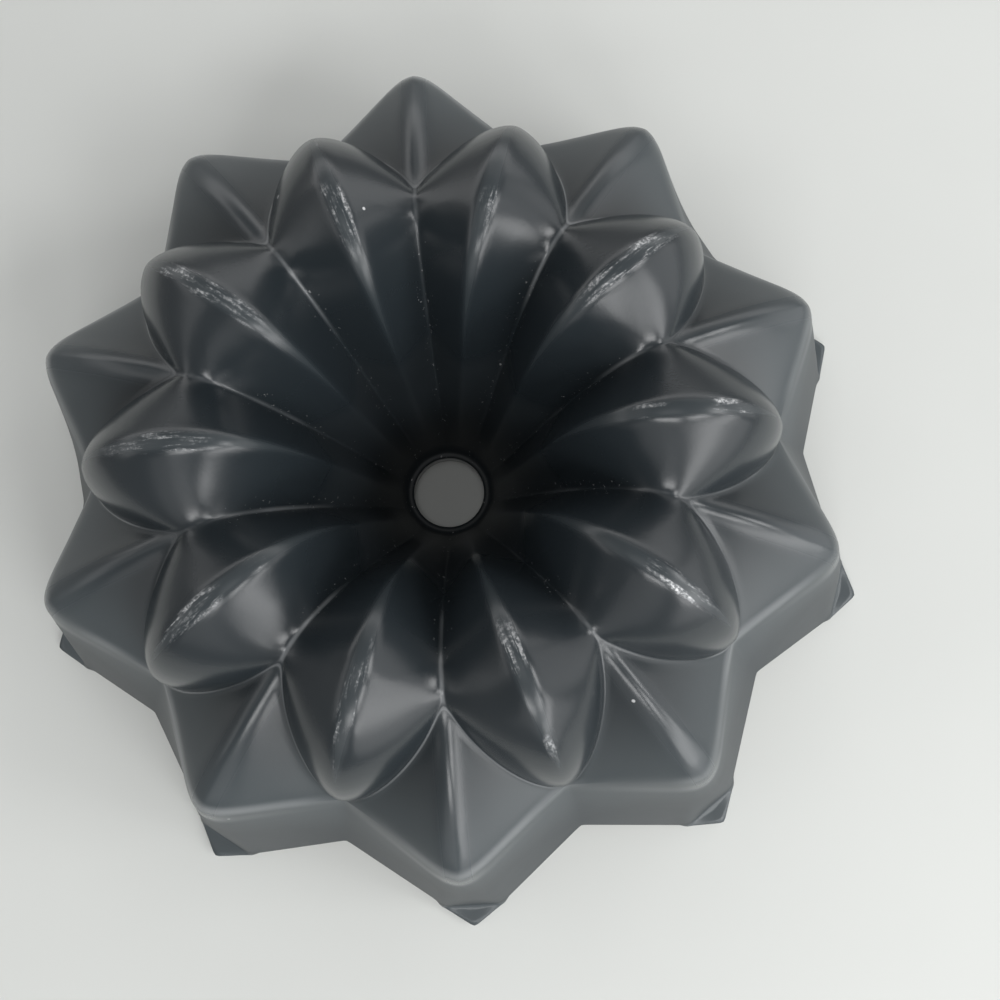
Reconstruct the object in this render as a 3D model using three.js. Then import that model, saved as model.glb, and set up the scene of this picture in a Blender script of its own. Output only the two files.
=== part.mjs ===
// Star bundt pan, lying mouth down: a casting with ten star points, ten petals and a tube, and its two coats.
// Millimetres, +Z up. The origin is on the table, under the middle of the tube.
import * as THREE from 'three';

// Star and rim. One point lies on +Y.
const pointCount = 10;
const rimTipRadius = 130;
const rimValleyRadius = 103.5;
const rimValleyHeight = 32.4;

// Foot tab: the flat triangle at the end of each point, which the pan stands on.
const footTabDepth = 6.3;
const footTabWidth = 18.5;
const footTabThickness = 2.8;

// Shoulder: the upper edge of the star-shaped wall.
const shoulderTipRadius = 103;
const shoulderTipHeight = 70;
const shoulderCornerLength = 4.2;
const shoulderValleyRadius = 88.5;
const shoulderValleyDrop = 9.5;
const facetSwell = 2.5;

// Petals: the ridge of each one rises over a star valley, and creases part it from its neighbours.
const junctionRadius = 61.2;
const junctionRise = 16;
const crestRadius = 57;
const crestRise = 12.5;
const petalOutlineRoundness = 1.4;
const petalFlankFlatness = 0.9;

// Funnel: how far the ridge and the crease run on before they bend down, and how they open above the tube.
const ridgeCrownReach = 26;
const ridgeThroatSpread = 14;
const ridgeThroatRise = 53;
const creaseCrownReach = 12;
const creaseCrownLift = 9;
const creaseThroatSpread = 20;
const creaseThroatRise = 55;

// Tube end: a flat ring around the hole, held just off the table.
const holeRadius = 11;
const tubeRingWidth = 2;
const tubeEndClearance = 1;

// Layers, from the outer side to the food side. The gaps keep the coats clear of the metal.
const outerCoatThickness = 0.3;
const castThickness = 3.2;
const liningThickness = 0.3;
const coatGap = 0.3;
const coatSetback = 0.5;

// Facets of the surface.
const columnsPerHalfPoint = 4;
const noseRowCount = 4;
const funnelRowCount = 6;
const crestShareOfCrease = 0.22;
const noseCreaseEase = 1.2;
const longestMitre = 1.6;

// Depth of each face of the layers under the visible outer skin.
const outerCoatBack = outerCoatThickness;
const castOutside = outerCoatBack + coatGap;
const castInside = castOutside + castThickness;
const liningBack = castInside + coatGap;
const liningFoodSide = liningBack + liningThickness;

const halfStep = Math.PI / pointCount;
const firstPointAngle = Math.PI / 2;
const shoulderValleyHeight = shoulderTipHeight - shoulderValleyDrop;
const junctionHeight = shoulderTipHeight + junctionRise;
const crestHeight = junctionHeight + crestRise;
const tubeRingRadius = holeRadius + tubeRingWidth;
const tubeRingHeight = tubeEndClearance + liningFoodSide;

const lerp = THREE.MathUtils.lerp;
const columnNumbers = [...Array(columnsPerHalfPoint + 1).keys()];
const columnShares = columnNumbers.map((column) => column / columnsPerHalfPoint);

// A point of the half sector: angle 0 is the middle of a star point, halfStep the middle of a petal.
function polar(radius, angle, height) {
  return new THREE.Vector3(radius * Math.cos(angle), radius * Math.sin(angle), height);
}

function profilePoint(radius, height) {
  return new THREE.Vector2(radius, height);
}

// Ridge of a petal from the crest down the funnel, as radius and height.
const ridgeFunnel = new THREE.CubicBezierCurve(
  profilePoint(crestRadius, crestHeight),
  profilePoint(crestRadius - ridgeCrownReach, crestHeight),
  profilePoint(tubeRingRadius + ridgeThroatSpread, tubeRingHeight + ridgeThroatRise),
  profilePoint(tubeRingRadius, tubeRingHeight),
);

// Crease between two petals, from the junction behind a star point down the funnel.
const crease = new THREE.CubicBezierCurve(
  profilePoint(junctionRadius, junctionHeight),
  profilePoint(junctionRadius - creaseCrownReach, junctionHeight + creaseCrownLift),
  profilePoint(tubeRingRadius + creaseThroatSpread, tubeRingHeight + creaseThroatRise),
  profilePoint(tubeRingRadius, tubeRingHeight),
);

// Nose of a petal: a quarter of an ellipse from the shoulder valley (turn 0) up to the crest (turn 1).
function ridgeNose(turn) {
  const angle = (turn * Math.PI) / 2;
  const radius = lerp(crestRadius, shoulderValleyRadius, Math.cos(angle));
  const height = lerp(shoulderValleyHeight, crestHeight, Math.sin(angle));
  return profilePoint(radius, height);
}

// How far out a row has swung from the crease (share 0) to the ridge (share 1).
function outlineSwing(share) {
  return 1 - (1 - share) ** petalOutlineRoundness;
}

// How far a convex flank has risen from the crease to the ridge, which keeps a soft edge.
function flankRise(share) {
  const fall = 1 - share;
  return 1 - petalFlankFlatness * fall - (1 - petalFlankFlatness) * fall ** 3;
}

function petalRow(creasePoint, ridgePoint) {
  return columnShares.map((share) => {
    const radius = lerp(creasePoint.x, ridgePoint.x, outlineSwing(share));
    const height = lerp(creasePoint.y, ridgePoint.y, flankRise(share));
    return polar(radius, share * halfStep, height);
  });
}

// Spreads the columns after the first along a straight edge.
function edgeRow(middle, corner, valley) {
  return columnShares.map((share, column) => {
    if (column === 0) return middle.clone();
    return corner.clone().lerp(valley, (column - 1) / (columnsPerHalfPoint - 1));
  });
}

// Foot of the wall: straight across the tab, then up along the rim to the valley.
function wallFootRow(height) {
  const baseRadius = rimTipRadius - footTabDepth;
  const tabMiddle = new THREE.Vector3(baseRadius, 0, height);
  const tabEnd = new THREE.Vector3(baseRadius, footTabWidth / 2, height);
  const rimStart = new THREE.Vector3(baseRadius, footTabWidth / 2, 0);
  const rimValley = polar(rimValleyRadius, halfStep, rimValleyHeight);
  const row = edgeRow(tabMiddle, rimStart, rimValley);
  row[1].copy(tabEnd);
  return row;
}

// Outer edge of the foot tab. Past the tab it runs on as the edge of the rim.
function tabEdgeRow(height) {
  const row = wallFootRow(height);
  row[0].x = rimTipRadius;
  return row;
}

function shoulderRow() {
  const tip = new THREE.Vector3(shoulderTipRadius, 0, shoulderTipHeight);
  const valley = polar(shoulderValleyRadius, halfStep, shoulderValleyHeight);
  const corner = tip.clone().lerp(valley, shoulderCornerLength / tip.distanceTo(valley));
  return edgeRow(tip, corner, valley);
}

// Where a petal meets the facets on top of a star point, which are flat there.
function leafOutlineRow() {
  const tip = new THREE.Vector3(shoulderTipRadius, 0, shoulderTipHeight);
  const valley = polar(shoulderValleyRadius, halfStep, shoulderValleyHeight);
  const junction = new THREE.Vector3(junctionRadius, 0, junctionHeight);
  const facet = new THREE.Plane().setFromCoplanarPoints(tip, valley, junction);
  return columnShares.map((share) => {
    const radius = lerp(junctionRadius, shoulderValleyRadius, outlineSwing(share));
    const point = polar(radius, share * halfStep, 0);
    point.z = -facet.distanceToPoint(point) / facet.normal.z;
    return point;
  });
}

function blendRows(first, second) {
  return first.map((point, column) => point.clone().lerp(second[column], 0.5));
}

// Middle of the facets on top of a star point, which swell most where they are longest.
function facetMiddleRow(shoulderEdge, leafOutline) {
  const longest = shoulderEdge[0].distanceTo(leafOutline[0]);
  const row = blendRows(shoulderEdge, leafOutline);
  row.forEach((point, column) => {
    const length = shoulderEdge[column].distanceTo(leafOutline[column]);
    point.z += facetSwell * (length / longest) ** 2;
  });
  return row;
}

function petalRows() {
  const rows = [];
  for (let row = 1; row <= noseRowCount; row += 1) {
    const turn = row / noseRowCount;
    rows.push(petalRow(crease.getPoint(crestShareOfCrease * turn ** noseCreaseEase), ridgeNose(turn)));
  }
  for (let row = 1; row <= funnelRowCount; row += 1) {
    const turn = row / funnelRowCount;
    rows.push(petalRow(crease.getPoint(lerp(crestShareOfCrease, 1, turn)), ridgeFunnel.getPoint(turn)));
  }
  return rows;
}

function holeRow() {
  return columnShares.map((share) => polar(holeRadius, share * halfStep, tubeRingHeight));
}

// Mirrors a half-sector row and repeats it around the axis, counter-clockwise.
function fullRing(row) {
  const mirrored = row.slice(1).reverse().map((point) => point.clone().setY(-point.y));
  const sector = [...mirrored, ...row.slice(0, -1)];
  const axis = new THREE.Vector3(0, 0, 1);
  const ring = [];
  for (let point = 0; point < pointCount; point += 1) {
    const turn = firstPointAngle + 2 * halfStep * point;
    sector.forEach((place) => ring.push(place.clone().applyAxisAngle(axis, turn)));
  }
  return ring;
}

// Rows of the outer skin from the rim to the hole, and which of them stand for what.
const tabRows = [tabEdgeRow(0), tabEdgeRow(footTabThickness)];
const shoulder = shoulderRow();
const leafOutline = leafOutlineRow();
const foot = wallFootRow(footTabThickness);
const skin = [
  ...tabRows,
  foot,
  blendRows(foot, shoulder),
  shoulder,
  facetMiddleRow(shoulder, leafOutline),
  leafOutline,
  ...petalRows(),
  holeRow(),
].map(fullRing);
const footIndex = tabRows.length;
const holeIndex = skin.length - 1;

const ringSize = skin[0].length;
const columnsPerPoint = 2 * columnsPerHalfPoint;
const keysPerMillimetre = 10000;

// Points that coincide have the same key, so that they become one corner of the mesh.
function pointKey(point) {
  return point.toArray().map((value) => Math.round(value * keysPerMillimetre)).join(' ');
}

// Two triangles for each cell between neighbouring rows, cut along the diagonal that follows the petals.
function cellTriangles(rows) {
  const triangles = [];
  for (let row = 0; row + 1 < rows.length; row += 1) {
    for (let column = 0; column < ringSize; column += 1) {
      const next = (column + 1) % ringSize;
      const [a, b] = [rows[row][column], rows[row][next]];
      const [c, d] = [rows[row + 1][next], rows[row + 1][column]];
      const towardsPetal = column % columnsPerPoint >= columnsPerHalfPoint;
      if (towardsPetal) triangles.push([a, b, c], [a, c, d]);
      else triangles.push([a, b, d], [b, c, d]);
    }
  }
  return triangles.filter(([a, b, c]) => new Set([a, b, c].map(pointKey)).size === 3);
}

// The way into the metal at each point of the skin: the mean normal of the faces that meet there, turned
// inwards and lengthened so that the faces keep their distance when the skin is moved along it. The edge of
// the rim moves level, and the edge of the hole straight down.
function inwardDirections(rows) {
  const facesAt = new Map();
  cellTriangles(rows).forEach((corners) => {
    const normal = new THREE.Triangle(...corners).getNormal(new THREE.Vector3());
    corners.forEach((corner, index) => {
      const before = corners[(index + 2) % 3].clone().sub(corner);
      const after = corners[(index + 1) % 3].clone().sub(corner);
      const key = pointKey(corner);
      if (!facesAt.has(key)) facesAt.set(key, []);
      facesAt.get(key).push({ normal, weight: before.angleTo(after) });
    });
  });
  const rimKeys = new Set(rows[0].map(pointKey));
  return rows.map((row, index) => row.map((point) => {
    if (index === holeIndex) return new THREE.Vector3(0, 0, -1);
    const faces = facesAt.get(pointKey(point));
    const mean = new THREE.Vector3();
    faces.forEach(({ normal, weight }) => mean.addScaledVector(normal, weight));
    if (rimKeys.has(pointKey(point))) mean.z = 0;
    mean.normalize();
    const total = faces.reduce((sum, { weight }) => sum + weight, 0);
    const agreement = faces.reduce((sum, { normal, weight }) => sum + weight * mean.dot(normal), 0) / total;
    return mean.multiplyScalar(-Math.min(longestMitre, 1 / agreement));
  }));
}

const inwards = inwardDirections(skin);

// The outer skin moved into the metal by a depth.
function skinAt(depth) {
  return skin.map((row, index) => row.map((point, column) => {
    const way = inwards[index][column];
    return point.clone().addScaledVector(way, depth);
  }));
}

// The food side at a depth: it has no tab, and meets the rim level with the outer edge.
function foodSideAt(depth) {
  const rim = skin[footIndex].map((point, column) => {
    const level = skin[0][column].z;
    const way = inwards[footIndex][column].clone().setZ(0).normalize();
    return point.clone().setZ(level).addScaledVector(way, depth);
  });
  return [rim, ...skinAt(depth).slice(footIndex + 1)];
}

// Draws a coat back from the edge of the rim, up along its own surface.
function setBack(rows) {
  const trimmed = rows.map((row) => row.map((point) => point.clone()));
  for (let column = 0; column < ringSize; column += 1) {
    const start = rows[0][column];
    const next = rows.findIndex((row) => row[column].distanceTo(start) > coatSetback);
    const edge = start.clone().lerp(rows[next][column], coatSetback / start.distanceTo(rows[next][column]));
    for (let row = 0; row < next; row += 1) trimmed[row][column].copy(edge);
  }
  return trimmed;
}

// A closed shell between two skins, joined along the rim and in the hole.
function shellGeometry(outside, inside) {
  const rimFace = cellTriangles([inside[0], outside[0]]);
  const holeFace = cellTriangles([outside.at(-1), inside.at(-1)]);
  const backFaces = cellTriangles(inside).map(([a, b, c]) => [a, c, b]);
  const triangles = [...cellTriangles(outside), ...backFaces, ...rimFace, ...holeFace];
  const places = new Map();
  const positions = [];
  const index = triangles.flat().map((corner) => {
    const key = pointKey(corner);
    if (!places.has(key)) {
      places.set(key, places.size);
      positions.push(...corner.toArray());
    }
    return places.get(key);
  });
  const geometry = new THREE.BufferGeometry();
  geometry.setAttribute('position', new THREE.Float32BufferAttribute(positions, 3));
  geometry.setIndex(index);
  geometry.computeVertexNormals();
  return geometry;
}

function namedPiece(name, geometry, material) {
  const mesh = new THREE.Mesh(geometry, new THREE.MeshStandardMaterial(material));
  mesh.name = name;
  return mesh;
}

const castShell = namedPiece(
  'cast_shell',
  shellGeometry(skinAt(castOutside), foodSideAt(castInside)),
  { color: 0xb9bbbc, roughness: 0.45, metalness: 1 },
);

const outerCoat = namedPiece(
  'outer_coat',
  shellGeometry(setBack(skinAt(0)), setBack(skinAt(outerCoatBack))),
  { color: 0x2e3133, roughness: 0.42, metalness: 0 },
);

const nonstickLining = namedPiece(
  'nonstick_lining',
  shellGeometry(setBack(foodSideAt(liningBack)), setBack(foodSideAt(liningFoodSide))),
  { color: 0x26282a, roughness: 0.35, metalness: 0 },
);

const pan = new THREE.Group();
pan.name = 'star_bundt_pan';
pan.add(castShell, outerCoat, nonstickLining);

export default pan;
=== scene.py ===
"""Star bundt pan, lying mouth down on a pale table, laid out as an add-on.

Its three layers are the outer coat, the casting and the lining of the food side.
"""
import math
from functools import partial, reduce

import bpy
import numpy as np
from bpy.props import FloatProperty, IntProperty, PointerProperty, StringProperty
from bpy.types import Operator, Panel, PropertyGroup
from mathutils import Matrix, Vector


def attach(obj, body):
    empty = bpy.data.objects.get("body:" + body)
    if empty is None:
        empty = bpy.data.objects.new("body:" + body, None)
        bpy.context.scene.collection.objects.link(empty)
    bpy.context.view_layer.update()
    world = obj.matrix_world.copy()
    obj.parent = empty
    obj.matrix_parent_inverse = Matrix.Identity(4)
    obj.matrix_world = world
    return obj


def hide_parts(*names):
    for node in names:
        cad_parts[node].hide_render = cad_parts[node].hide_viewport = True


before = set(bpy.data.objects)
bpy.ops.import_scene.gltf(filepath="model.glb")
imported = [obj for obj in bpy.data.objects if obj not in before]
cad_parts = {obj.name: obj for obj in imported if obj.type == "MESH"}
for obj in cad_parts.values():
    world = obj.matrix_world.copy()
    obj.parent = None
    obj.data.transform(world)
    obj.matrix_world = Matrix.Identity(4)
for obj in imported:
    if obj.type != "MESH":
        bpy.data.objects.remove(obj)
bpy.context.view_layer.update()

bl_info = {
    "name": "Star bundt pan",
    "version": (1, 0, 0),
    "blender": (4, 5, 0),
    "location": "View3D > Sidebar > Bundt pan",
    "description": "Builds a cast star-shaped bundt pan in three layers, and the table that it lies on",
    "category": "Add Mesh",
}

MM = 0.001

# Mesh columns of half a star point, and rows from the rim to the hole.
TAB_SHARE = 0.25
CORNER_COLUMNS = 6
FLANK_COLUMNS = 16
SECTION_ROWS = {"tab_edge": 2, "tab_top": 3, "wall": 16, "facet": 14, "nose": 15, "funnel": 30, "ring": 2}
CLOSER_AT_EDGES = 0.6

# A foot tab: the share of half a point in which it fades out, and the step between its top and the wall.
TAB_FADE = 0.1
TAB_STEP = 0.45 * MM

# The rounding: how often it is repeated, how far it reaches in its own widths, and its fastest rate.
SOFTENING_PASSES = 60
EDGE_REACH = 2.0
RIDGE_REACH = 3.0
FASTEST_SETTLING = 0.9
# Rows of a point's top between which its ridge keeps the rounding of its middle.
RIDGE_ROWS = (5, 12)

# What keeps the layers from folding or tearing. ROOM_USED is a share of the way to the petal's middle.
LONGEST_MITRE = 1.6
ROOM_USED = 0.8
SHORTEST_GAP = 0.02 * MM
SHORTEST_RUN = 0.01 * MM
NARROWEST_EDGE = 0.001 * MM
WELD_DISTANCE = 0.0005 * MM
SMALLEST_FACE = 1e-9
CAGE_STEP = 5
CAGE_SHARES = (0.0, TAB_SHARE, 0.5, 0.75, 1.0)

# How the crease runs beside the ridge: its share that is used up at the crest, and how late it starts.
CREST_SHARE_OF_CREASE = 0.22
NOSE_CREASE_EASE = 1.2
NOSE_FOOT_TURN = 0.35

# Where the flat band on a petal's ridge starts on the nose, and where it runs out down the funnel.
BAND_START = 0.2
BAND_END = 0.6

# Kinds of node that the materials use often.
MATH, MIX, NOISE = "ShaderNodeMath", "ShaderNodeMix", "ShaderNodeTexNoise"
RANGE, VECTOR = "ShaderNodeMapRange", "ShaderNodeVectorMath"

# Noise in the materials: the size of its patches in millimetres, its detail and how harsh that is.
# The grain of a sprayed coat and the flecks are finer in life.
# They are drawn as coarse as a picture can hold.
COAT_PATTERNS = {
    "clouds": (28, 3.0, 0.5),
    "scuffed_places": (17, 1.0, 0.5),
    "grit": (0.8, 3.0, 0.6),
    "specks": (1.1, 3.0, 0.6),
    # Breaks up the painted highlights along edges, outlines and creases.
    "highlight_and_scuff": (45, 2.0, 0.5),
    "grain": (0.8, 1.0, 0.5),
    "waves": (13, 1.0, 0.5),
}
METAL_PATTERNS = {"frost": (1.2, 3.0, 0.5)}
LINING_PATTERNS = {"flecks": (0.9, 2.0, 0.5), "clouds": (24, 2.0, 0.5), "grain": (0.8, 1.0, 0.5)}
TABLE_PATTERNS = {"clouds": (90, 3.0, 0.5)}

# Noise values between which a pattern goes from nothing to full.
STREAK_RAMP = (0.47, 0.62)
SCUFFED_RAMP = (0.39, 0.54)
GRIT_RAMP = (0.44, 0.6)
SPECK_RAMP = (0.66, 0.72)
# Noise values that break up the painted highlights.
HIGHLIGHT_BREAKUP_RAMP = (0.4, 0.62)
CHIP_RAMP = (0.84, 0.85)
CHIP_SIZE_RAMP = (0.05, 0.03)

# Distances between which a mark on the coat goes from nothing to full, or a part of the coat begins.
LAND_RAMP = (-1.0 * MM, 0.8 * MM)
TAB_RADIUS_RAMP = (121.5 * MM, 123.5 * MM)
TAB_HEIGHT_RAMP = (5 * MM, 3.2 * MM)
SPECK_CREASE_RAMP = (3.2 * MM, 0.5 * MM)
SPECK_RADIUS_RAMP = (56 * MM, 40 * MM)
STAR_RAMP = (0.5 * MM, -1.5 * MM)
STAR_RIDGE_RAMP = (8 * MM, 2 * MM)
PETAL_RAMP = (0.3 * MM, 2 * MM)
CREASE_RADIUS_RAMP = (25 * MM, 45 * MM)
WALL_RAMP = (62 * MM, 55 * MM)

# Distances at which a mark is full, and how far inside the land's edge the scuffs run.
SCUFF_FULL = 0.2 * MM
SCUFF_FULL_REACH = 8 * MM
# Where the star's lightening at its upper edge is full: partly dusty film, partly painted light.
DUST_AND_LIGHT_FULL = 3 * MM
# Where the painted highlights along the star's upper edge, the outlines and the creases are full.
EDGE_LINE_FULL = 0.2 * MM
THIN_LINE_FULL = 0.1 * MM
SCUFF_INSET = 0.5 * MM

# How strong the marks are, how deep the bumps go, and how much darker the darker patches of a surface are.
# The first strength lightens the worn land on the ridges: partly wear, partly painted light.
LAND_STRENGTH = 0.4
# How much the star is lightened far from its upper edge and at it: partly dusty film, partly painted light.
DUST_AND_LIGHT_STRENGTH = (0.12, 0.45)
CLOUD_DUST = 0.08
# The first wash lays on the painted highlights; the second lightens the worn land and the tabs, partly painted
# light.
HIGHLIGHT_WASH, RUBBED_AND_LIGHT_WASH, SCUFF_WASH = 0.5, 0.6, 0.6
BARE_METALLIC = 0.7
FLECK_STRENGTH = 0.35
LINING_HAZE = 0.15
WAVES_TO_GRAIN = 8.0
COAT_BUMP, METAL_BUMP, LINING_BUMP = 0.012 * MM, 0.03 * MM, 0.015 * MM
METAL_DARK_TONE, TABLE_DARK_TONE = 0.7, 0.93

# Roughness: from the clear to the cloudy places of a surface, and one value for each place that stands out.
PETAL_ROUGHNESS = (0.21, 0.29)
STAR_ROUGHNESS = (0.33, 0.42)
STAR_RIDGE_ROUGHNESS = 0.26
WALL_ROUGHNESS = 0.5
RUBBED_ROUGHNESS = 0.36
SCUFF_ROUGHNESS = 0.48
METAL_ROUGHNESS = (0.38, 0.55)
LINING_ROUGHNESS = (0.28, 0.4)
TABLE_ROUGHNESS = (0.6, 0.72)

# The photo's camera: its place in metres, and the turn of its view as an axis times an angle in radians.
# Its lens and sensor are in millimetres.
CAMERA_PLACE = (0.0156299, -0.0524947, 0.3149037)
CAMERA_TURN = (-0.157, -0.0047, 0.0657)
CAMERA_LENS = 36.0
CAMERA_SENSOR = 36.0
CAMERA_NEAREST = 0.01
TABLE_REACH = 0.45

# Soft lamps around the table: azimuth from +X, elevation, width and height in degrees, and radiance.
LAMP_AIM_HEIGHT = 0.06
LAMP_DISTANCE = 1.5
ROOM_GLOW = 0.27
SOFT_BOXES = {
    "window_low": (312, 6, 62, 18, 1.4),
    "window": (316, 23, 56, 14, 5.5),
    "window_top_front": (266, 43, 24, 11, 9.0),
    "window_top": (312, 43, 24, 11, 9.0),
    "window_top_right": (356, 38, 20, 11, 9.0),
    "right": (8, 10, 36, 28, 1.2),
    "front": (252, 20, 36, 22, 0.6),
    "back": (60, 15, 60, 16, 1.6),
    "back_left": (120, 15, 60, 16, 1.4),
    "left": (178, 25, 50, 16, 1.0),
    "back_top": (65, 34, 60, 28, 0.5),
    "left_top": (170, 50, 50, 24, 0.4),
    "overhead": (270, 85, 24, 24, 0.9),
}


def length(name, millimetres, description):
    """A size that a user may change, kept in metres."""
    return FloatProperty(
        name=name, description=description, default=millimetres * MM, min=0.0, unit="LENGTH", precision=5
    )


def share(name, value, description):
    """A plain number that shapes a curve."""
    return FloatProperty(name=name, description=description, default=value, min=0.0, subtype="FACTOR")


def colour(name, hex_value, description):
    """A colour as an sRGB hex value."""
    return StringProperty(name=name, description=description, default=hex_value, maxlen=7)


class StarSizes(PropertyGroup):
    """The star-shaped wall, its rim and its foot tabs."""

    point_count: IntProperty(name="Points", description="Number of star points", default=10, min=3)
    rim_tip_radius: length("Rim tip", 130.35, "Radius of the foot tabs' tips before they are rounded")
    rim_valley_radius: length("Rim valley", 103.5, "Radius of the rim between two points")
    rim_valley_height: length("Rim arch", 32.4, "Height of the rim between two points")
    tab_depth: length("Tab depth", 6.3, "How far a foot tab stands out from the wall")
    tab_width: length("Tab width", 18.5, "Width of a foot tab at the wall")
    tab_thickness: length("Tab thickness", 2.8, "Height of a foot tab")
    shoulder_tip_radius: length("Shoulder tip", 105.5, "Radius of the upper corners before they are rounded")
    shoulder_tip_height: length("Shoulder height", 70, "Height of the star's upper corners")
    corner_length: length("Corner", 4.2, "Length of the upper corner that is taken off by its rounding")
    shoulder_valley_radius: length("Shoulder valley", 88.5, "Radius of the shoulder between two points")
    shoulder_valley_height: length("Valley height", 60.5, "Height of the shoulder between two points")
    facet_bulge: length("Facet bulge", 3.0, "How far the top of a point swells up in its middle")


class PetalSizes(PropertyGroup):
    """The petals over the star valleys, and the funnel that they run down into."""

    junction_radius: length("Junction", 61.2, "Radius at which two petals meet behind a star point")
    junction_height: length("Junction height", 86, "Height at which two petals meet")
    crest_radius: length("Crest", 57, "Radius of a petal's highest place")
    crest_height: length("Crest height", 98.5, "Height of a petal's highest place")
    outline_roundness: share("Outline roundness", 1.4, "How soon a petal swings out from the junction")
    flank_flatness: share("Flank flatness", 0.95, "How much of a flank's rise is straight")
    band_half_width: length("Ridge band", 1.8, "Half the width of a ridge's flat band, at the crest")
    ridge_reach: length("Ridge reach", 26, "How far the ridge runs on level before it bends down")
    ridge_throat_spread: length("Ridge spread", 14, "How far the ridge opens above the tube")
    ridge_throat_rise: length("Ridge rise", 53, "Height over which the ridge opens above the tube")
    crease_reach: length("Crease reach", 12, "How far the crease runs on before it bends down")
    crease_lift: length("Crease lift", 9, "How far the crease still climbs past the junction")
    crease_throat_spread: length("Crease spread", 20, "How far the crease opens above the tube")
    crease_throat_rise: length("Crease rise", 55, "Height over which the crease opens above the tube")
    hole_radius: length("Hole", 11, "Radius of the open tube")
    ring_width: length("Ring", 2, "Width of the flat ring around the hole")
    ring_height: length("Ring height", 5.4, "Height of the flat ring above the table")


class LayerSizes(PropertyGroup):
    """Depths of the three layers under the visible skin."""

    coat_back: length("Coat", 0.3, "Depth of the coat's back")
    cast_outside: length("Casting, outer side", 0.35, "Depth at which the metal starts")
    cast_inside: length("Casting, food side", 4.05, "Depth at which the metal ends")
    lining_back: length("Lining's back", 4.1, "Depth at which the lining starts")
    lining_face: length("Lining's face", 4.4, "Depth of the food side")


class EdgeSizes(PropertyGroup):
    """How soft the edges are. A length is about half the width of the rounding."""

    tab_tip: length("Tab tip", 1.0, "Rounding of a foot tab's tip")
    tab_rim: length("Tab rim", 0.5, "Rounding of a foot tab's upper edge")
    wall_corner: length("Wall corner", 2.2, "Rounding of the star's upright corners")
    wall_valley: length("Wall valley", 1.0, "Rounding of the valleys between the points")
    shoulder: length("Shoulder", 3.0, "Rounding of the star's upper edge")
    point_tip: length("Point tip", 6.0, "Rounding of the ridge on top of a point, at its tip")
    point_ridge: length("Point ridge", 4.6, "Rounding of that ridge in its middle")
    point_root: length("Point root", 2.4, "Rounding of that ridge where the petals meet")
    petal_ridge: length("Petal ridge", 1.0, "Rounding of the edges of a petal's ridge band")
    crease: length("Crease", 0.4, "Rounding of the creases between petals")
    outline: length("Petal outline", 1.5, "Rounding where a petal meets the star")
    ring: length("Ring edge", 0.5, "Rounding of the ring around the hole")


class WearSizes(PropertyGroup):
    """Where the coat is worn, scuffed and dusty, and where light is painted into its colour."""

    # The worn land, like the foot tabs, is lightened: partly wear, partly painted light.
    land_reach: length("Rubbed land", 25, "How far the rubbed land on a ridge runs from the crest, both ways")
    scuff_radius: length("Scuff radius", 63, "Radius at which the scuffs on that land are thickest")
    scuff_reach: length("Scuff reach", 19, "How far the scuffs run from there")
    scuff_width: length("Scuff width", 1.5, "How far the scuffs stray from the land's edge")
    streak_width: length("Streak width", 1.8, "Width of the streaks in the scuffs")
    streak_length: length("Streak length", 14, "Length of the streaks in the scuffs")
    chip_spacing: length("Chip spacing", 11, "Size of the fields of which a few hold a chip")
    # How far the star's lightening runs from its upper edge: partly dusty film, partly painted light.
    dust_and_light_reach: length("Dust reach", 30, "How far the dust lies from the star's upper edge")
    # The edge line and the thin line are painted highlights.
    edge_line: length("Edge line", 3.0, "Half the width of the pale line along the star's upper edge")
    thin_line: length("Thin line", 0.8, "Half the width of the pale lines along outlines and creases")


class PanColours(PropertyGroup):
    """Colours as sRGB hex values."""

    coat: colour("Coat", "#21272B", "Black satin coat")
    # This colour also paints light: it lightens the worn land, the foot tabs and the star towards its upper
    # edge.
    coat_dust_and_painted_light: colour("Dust in the coat", "#52595C", "Flour and scale that dull the coat")
    # Colour of the painted highlights along edges, outlines and creases, and of the scuffs.
    highlight_and_scuff: colour("Highlight and scuff", "#85888A", "Pale residue along the edges")
    metal: colour("Bare metal", "#C9CACB", "Aluminium where the coat is worn through")
    lining: colour("Lining", "#26282A", "Non-stick lining of the food side")
    table: colour("Table", "#D6D8D5", "Pale table top")


class PanSettings(PropertyGroup):
    """All that can be changed about the pan."""

    star: PointerProperty(type=StarSizes)
    petals: PointerProperty(type=PetalSizes)
    layers: PointerProperty(type=LayerSizes)
    edges: PointerProperty(type=EdgeSizes)
    wear: PointerProperty(type=WearSizes)
    colours: PointerProperty(type=PanColours)


def lerp(first, second, part):
    return first + (second - first) * part


def ease(part):
    """0 to 1 with a soft start and end."""
    part = np.clip(part, 0.0, 1.0)
    return part * part * (3.0 - 2.0 * part)


def lens(part):
    """The width of a lens, from 1 in its middle (part 0) to nothing at its end (part 1)."""
    return max(0.0, 1.0 - part * part)


def spread(count, pull):
    """Shares from 0 to 1 that stand closer together at both ends."""
    even = np.linspace(0.0, 1.0, count + 1)
    return lerp(even, 0.5 - 0.5 * np.cos(np.pi * even), pull)


def polar(radius, angle, height):
    """Points at an angle from the middle of the star point."""
    parts = np.broadcast_arrays(radius * np.cos(angle), radius * np.sin(angle), height)
    return np.stack(parts, axis=-1)


def bezier(points, part):
    """A place on the curve that the four points, given as radius and height, pull along."""
    points = [np.array(point) for point in points]
    while len(points) > 1:
        points = [lerp(first, second, part) for first, second in zip(points, points[1:])]
    return points[0]


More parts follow.
